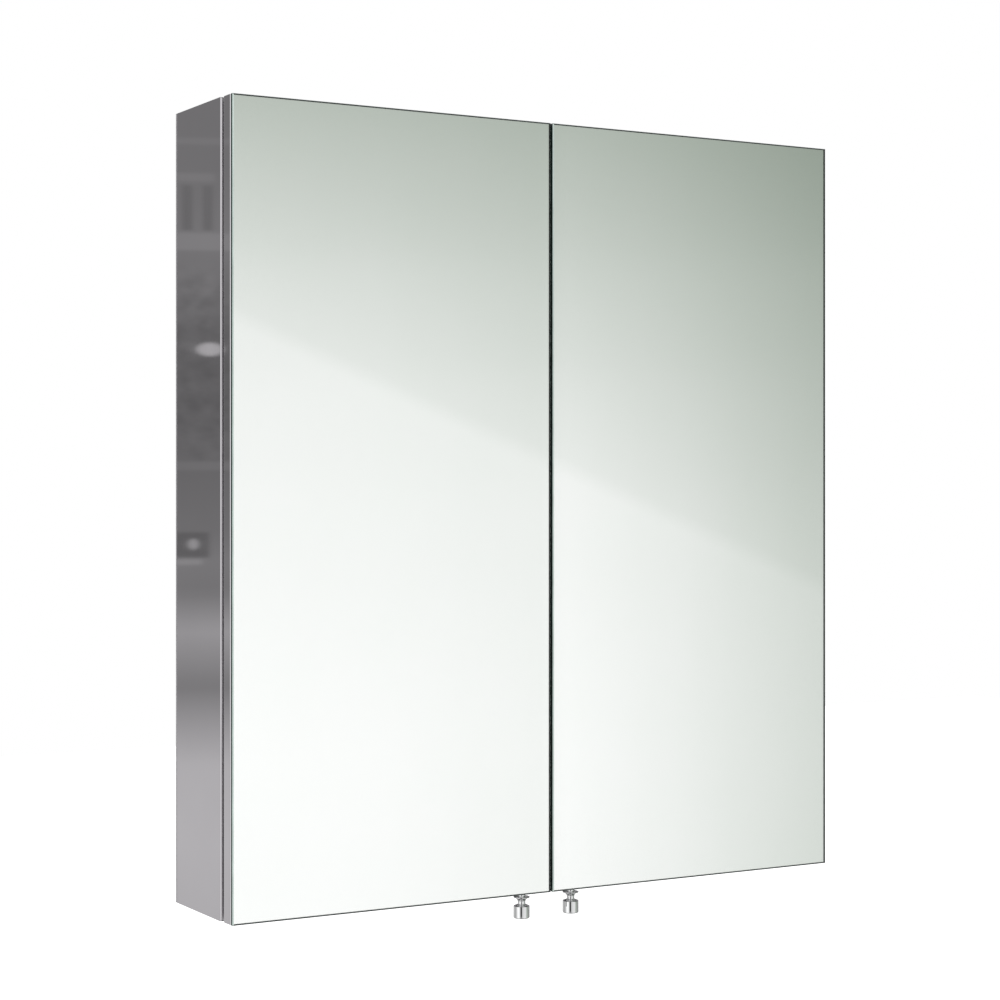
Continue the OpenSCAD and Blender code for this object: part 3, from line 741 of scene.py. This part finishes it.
def studio_room(shade, heading, height):
    """What the sides reflect: a dim room with a pale floor, a window, a cupboard and two small lamps."""
    level = shade.ramp(height, [
        (-30, 0.55), (-12, 0.62), (-9, 0.67), (-7.1, 0.64), (-5.1, 0.28), (-3.7, 0.46), (-2.7, 0.26),
        (-1.9, 0.28), (-1.2, 0.235), (1.5, 0.18), (3.0, 0.175), (4.2, 0.20), (5.2, 0.25), (6.4, 0.27),
        (8.0, 0.24), (9.5, 0.24), (30, 0.26),
    ])
    # Uneven tones among the things that stand at the height of the horizon
    where = shade.add("ShaderNodeCombineXYZ")
    shade.feed(where.inputs[0], heading)
    shade.feed(where.inputs[1], height)
    clutter = shade.remap(shade.noise(where.outputs[0], 2.2, 4.0, 0.6), 0.35, 0.65, 0.86, 1.12)
    cluttered = shade.mix(1.0, level, clutter, "MULTIPLY")
    level = shade.mix(shade.band(height, 0.6, 5.4, 0.5), level, cluttered)

    # Each thing is (what it is, lowest and highest heading, lowest and highest height, tone)
    for _, left, right, low, high, tone in (
        ("picture rail", -168, -146, 8.60, 8.76, 0.27),
        ("window head", -168, -157.3, 7.68, 7.88, 0.28),
        ("window", -158.13, -157.86, 6.45, 7.58, 0.20),
        ("window", -157.60, -157.35, 6.45, 7.58, 0.20),
        ("window sill", -168, -146, 5.95, 6.38, 0.315),
        ("dado rail", -168, -146, 0.38, 0.60, 0.235),
        ("cupboard", -168, -157.45, -1.84, -1.20, 0.165),
        ("cupboard edge", -168, -157.62, -2.02, -1.88, 0.37),
    ):
        across = shade.band(heading, left, right, 0.03)
        upright = shade.band(height, low, high, 0.05)
        level = shade.mix(shade.multiply(across, upright), level, grey(tone))

    # The lamps, as soft ovals of (heading, height, half width, half height, tone)
    for turned, up, wide, tall, tone in (
        (-157.42, 3.45, 0.34, 0.17, 0.56),
        (-157.84, -1.50, 0.13, 0.14, 0.48),
    ):
        across = shade.math("DIVIDE", shade.math("SUBTRACT", heading, turned), wide)
        upright = shade.math("DIVIDE", shade.math("SUBTRACT", height, up), tall)
        far = shade.math("ADD", shade.multiply(across, across), shade.multiply(upright, upright))
        within = shade.remap(far, 0.4, 1.6, 1.0, 0.0, smooth=True)
        level = shade.mix(within, level, grey(tone))
    return level


def studio_world():
    """A white studio: the camera sees plain white, and the metal reflects soft panels.

    Directions are given as heading, from straight in front of the cabinet towards its right, and
    height above the horizon, both in degrees.
    """
    world = bpy.data.worlds.new("studio")
    world.use_nodes = True
    bpy.context.scene.world = world
    shade = Shader(world.node_tree)
    direction = shade.add("ShaderNodeSeparateXYZ")
    shade.feed(direction.inputs[0], shade.add("ShaderNodeTexCoord").outputs["Generated"])
    x, y, z = direction.outputs
    to_degrees = 180 / math.pi
    forward = shade.multiply(y, -1.0)
    heading = shade.multiply(shade.math("ARCTAN2", x, forward), to_degrees)
    height = shade.multiply(shade.math("ARCSINE", z), to_degrees)

    # Once around: the room behind, the lamps on the left, the pale wall in front and its fall-off
    around = shade.ramp(heading, [
        (-180, 0.90), (-171, 0.90), (-167, 0.40), (-160, 0.56), (-140, 0.54), (-116, 0.54),
        (-100, 0.95), (-86, 1.4), (-64, 1.4), (-51, 0.85), (-42, 0.60), (-30, 0.55), (-21, 0.70),
        (-9, 0.95), (10, 0.98), (50, 0.62), (80, 0.34), (104, 0.45), (114, 0.62), (128, 0.62),
        (140, 0.36), (174, 0.36), (180, 0.90),
    ])
    unlit = shade.multiply(shade.band(heading, -46, -25, 5), shade.band(height, -16, 7, 2.5))
    level = shade.mix(unlit, around, grey(0.04))
    room = studio_room(shade, heading, height)
    level = shade.mix(shade.band(heading, -168, -146, 4), level, room)
    panel = studio_panel(shade, heading, height)
    level = shade.mix(shade.band(heading, 10, 74, 6), level, panel)

    overhead = shade.remap(height, 32.0, 55.0, smooth=True)
    level = shade.mix(overhead, level, (0.14, 0.14, 0.145, 1))
    underneath = shade.remap(height, -50.0, -30.0, 1.0, 0.0, smooth=True)
    level = shade.mix(underneath, level, (0.07, 0.07, 0.072, 1))

    seen = shade.add("ShaderNodeLightPath").outputs["Is Camera Ray"]
    background = shade.add("ShaderNodeBackground")
    shade.feed(background.inputs[0], shade.mix(seen, level, grey(1.0)))
    output = shade.add("ShaderNodeOutputWorld")
    shade.feed(output.inputs[0], background.outputs[0])


def studio_floor():
    """A plain pale floor, well below the cabinet, which hangs on a wall that isn't shown."""
    mesh = bmesh.new()
    half = 6.0
    corners = [(-half, -half), (half, -half), (half, half), (-half, half)]
    mesh.faces.new([mesh.verts.new((x, y, FLOOR_LEVEL)) for x, y in corners])
    built = bpy.data.meshes.new("studio_floor")
    mesh.to_mesh(built)
    mesh.free()
    made, shade, surface = new_material("studio_floor")
    surface.inputs["Base Color"].default_value = grey(0.95)
    surface.inputs["Emission Color"].default_value = grey(1.0)
    surface.inputs["Emission Strength"].default_value = 1.0
    built.materials.append(made)
    floor = bpy.data.objects.new("studio_floor", built)
    bpy.context.scene.collection.objects.link(floor)
    floor.visible_glossy = False
    floor.visible_transmission = False


def studio_lights():
    """Large soft lamps that the mirrors don't show."""
    for name, place, size, power in (
        ("key", (-1.6, -2.2, 1.6), 1.6, 26.0),
        ("fill", (1.8, -1.8, 0.6), 1.4, 10.0),
    ):
        lamp = bpy.data.lights.new(name, "AREA")
        lamp.shape = "SQUARE"
        lamp.size = size
        lamp.energy = power
        stand = bpy.data.objects.new(name, lamp)
        stand.location = place
        stand.rotation_euler = (-Vector(place)).to_track_quat("-Z", "Y").to_euler()
        stand.visible_glossy = False
        stand.visible_transmission = False
        bpy.context.scene.collection.objects.link(stand)


def studio_camera():
    """The view of the reference: from the left, level with the middle of the cabinet."""
    camera = bpy.data.cameras.new("camera")
    camera.sensor_width = 36.0
    camera.lens = 80.4
    camera.shift_x = -0.0008
    camera.shift_y = -0.0148
    camera.clip_end = 50.0
    stand = bpy.data.objects.new("camera", camera)
    stand.location = (-1.010, -1.782, 0.0195)
    stand.rotation_euler = (math.radians(90), 0, math.radians(-30))
    bpy.context.scene.collection.objects.link(stand)
    bpy.context.scene.camera = stand


bpy.context.scene.view_settings.view_transform = "Standard"
studio_world()
studio_floor()
studio_lights()
studio_camera()
dress_cad_nodes()
for side, inward in (("left", 1), ("right", -1)):
    door = f"{side}_door"
    make_mirror(side)
    make_knob(side)
    make_bumpers(side)
    make_screws(f"{side}_plate_screws", "cabinet", facing=(inward, 0, 0), head_h=1.8 * MM,
                shank_r=1.75 * MM)
    make_screws(f"{side}_arm_screws", "cabinet", facing=(inward, 0, 0), head_h=2.0 * MM,
                shank_r=1.8 * MM)
    make_screws(f"{side}_cup_screws", door, facing=(0, 1, 0), head_h=1.2 * MM,
                shank_r=1.7 * MM)
    soften_node(f"{side}_hinge_plates", "cabinet", "nickel_steel", 0.35 * MM)
    for level in ("upper", "lower"):
        soften_node(f"{side}_{level}_hinge_arm", "cabinet", "nickel_steel", 0.3 * MM)
        soften_node(f"{side}_{level}_hinge_cup", door, "nickel_steel", 0.35 * MM)
make_screws("catch_screws", "cabinet", facing=(0, 0, -1), head_h=1.8 * MM, shank_r=1.5 * MM)
soften_node("catch_housing", "cabinet", "white_plastic", 0.6 * MM)
soften_node("shelf_pins", "cabinet", "nickel_steel", 0.3 * MM)
